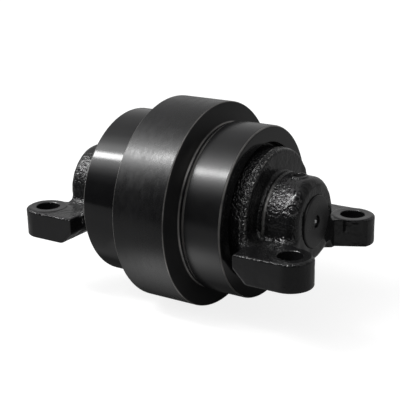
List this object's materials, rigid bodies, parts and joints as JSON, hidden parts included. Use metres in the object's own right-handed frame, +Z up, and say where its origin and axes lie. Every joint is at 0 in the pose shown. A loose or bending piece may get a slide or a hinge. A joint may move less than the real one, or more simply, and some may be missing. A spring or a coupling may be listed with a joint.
{
  "type": "track roller",
  "caption": "Centre-flange track roller: a forged shell that turns on a fixed shaft held between cast end collars with bolt-down feet.",
  "frame": {"origin": "centre of the roller, on the shaft axis, midway between the end collars", "axes": "+X along the shaft towards the end nearer the camera (right), +Z up and away from the mounting faces, +Y to the rear"},
  "size_m": [0.3804, 0.24, 0.24],
  "materials": {
    "shell_paint": "gloss black paint over a turned forging",
    "collar_paint": "gloss black paint over a rough casting",
    "shaft_paint": "black paint over a turned steel end face",
    "pin_paint": "black paint over a steel pin",
    "plug_steel": "dark plated steel, partly painted over",
    "bushing_bronze": "oiled bronze",
    "seal_iron": "lapped hard iron",
    "seal_rubber": "matte nitrile rubber"
  },
  "bodies": {
    "fixed": {"roller_shaft": "shaft_paint", "collar_left": "collar_paint", "lock_pin_left": "pin_paint", "shaft_o_ring_left": "seal_rubber", "fill_plug_left": "plug_steel", "plug_o_ring_left": "seal_rubber", "fixed_seal_ring_left": "seal_iron", "fixed_seal_toric_left": "seal_rubber", "collar_right": "collar_paint", "lock_pin_right": "pin_paint", "shaft_o_ring_right": "seal_rubber", "fill_plug_right": "plug_steel", "plug_o_ring_right": "seal_rubber", "fixed_seal_ring_right": "seal_iron", "fixed_seal_toric_right": "seal_rubber"},
    "roller": {"roller_shell": "shell_paint", "bushing_left": "bushing_bronze", "rotating_seal_ring_left": "seal_iron", "rotating_seal_toric_left": "seal_rubber", "bushing_right": "bushing_bronze", "rotating_seal_ring_right": "seal_iron", "rotating_seal_toric_right": "seal_rubber"}
  },
  "joints": [
    {"name": "roller_spin", "type": "hinge", "parent": "fixed", "child": "roller", "pos_m": [0, 0, 0], "axis": [1, 0, 0], "continuous": true}
  ]
}
